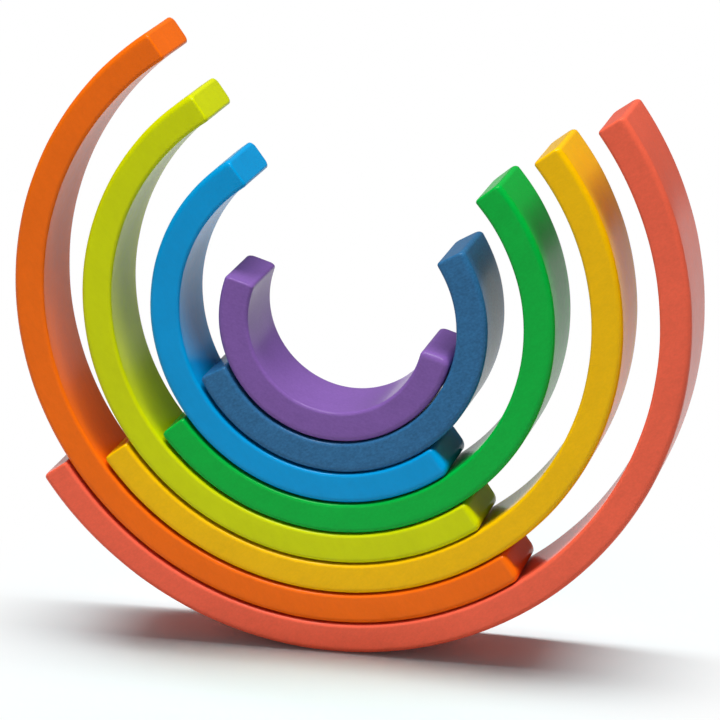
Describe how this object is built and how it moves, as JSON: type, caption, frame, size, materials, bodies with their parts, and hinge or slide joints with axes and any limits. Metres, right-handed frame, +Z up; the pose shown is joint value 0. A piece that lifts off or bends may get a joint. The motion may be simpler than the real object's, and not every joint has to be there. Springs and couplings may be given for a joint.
{
  "type": "rainbow stacker",
  "caption": "Nesting painted wooden arches in rainbow colours, balanced upside down inside one another: a toy for stacking, sorting and building.",
  "frame": {"origin": "on the floor, in the middle of the line on which the round back of the red arch stands", "axes": "+X to the right seen from the front, +Y from the front faces to the back faces, +Z up"},
  "size_m": [0.2852, 0.036, 0.2626],
  "materials": {
    "red_paint": "satin",
    "orange_paint": "satin",
    "yellow_paint": "satin",
    "lime_paint": "satin",
    "green_paint": "satin",
    "sky_blue_paint": "satin",
    "dark_blue_paint": "satin",
    "violet_paint": "satin"
  },
  "bodies": {
    "red_body": {"red_arch": "red_paint"},
    "orange_body": {"orange_arch": "orange_paint"},
    "yellow_body": {"yellow_arch": "yellow_paint"},
    "lime_body": {"lime_arch": "lime_paint"},
    "green_body": {"green_arch": "green_paint"},
    "sky_blue_body": {"sky_blue_arch": "sky_blue_paint"},
    "dark_blue_body": {"dark_blue_arch": "dark_blue_paint"},
    "violet_body": {"violet_arch": "violet_paint"}
  },
  "joints": [
    {"name": "orange_turn", "type": "hinge", "parent": "red_body", "child": "orange_body", "pos_m": [0.00044, 0, 0.1491], "axis": [0, -1, 0], "range_deg": [-10.5, 189.5]},
    {"name": "yellow_turn", "type": "hinge", "parent": "orange_body", "child": "yellow_body", "pos_m": [0.00087, 0, 0.1482], "axis": [0, -1, 0], "range_deg": [-192, 8]},
    {"name": "lime_turn", "type": "hinge", "parent": "yellow_body", "child": "lime_body", "pos_m": [0.00131, 0, 0.1473], "axis": [0, -1, 0], "range_deg": [-7.5, 192.5]},
    {"name": "green_turn", "type": "hinge", "parent": "lime_body", "child": "green_body", "pos_m": [0.00175, 0, 0.1464], "axis": [0, -1, 0], "range_deg": [-194.5, 5.5]},
    {"name": "sky_blue_turn", "type": "hinge", "parent": "green_body", "child": "sky_blue_body", "pos_m": [0.00219, 0, 0.1455], "axis": [0, -1, 0], "range_deg": [-7, 193]},
    {"name": "dark_blue_turn", "type": "hinge", "parent": "sky_blue_body", "child": "dark_blue_body", "pos_m": [0.00262, 0, 0.1446], "axis": [0, -1, 0], "range_deg": [-183, 17]},
    {"name": "violet_turn", "type": "hinge", "parent": "dark_blue_body", "child": "violet_body", "pos_m": [0.00306, 0, 0.1437], "axis": [0, -1, 0], "range_deg": [-53.5, 146.5]}
  ]
}
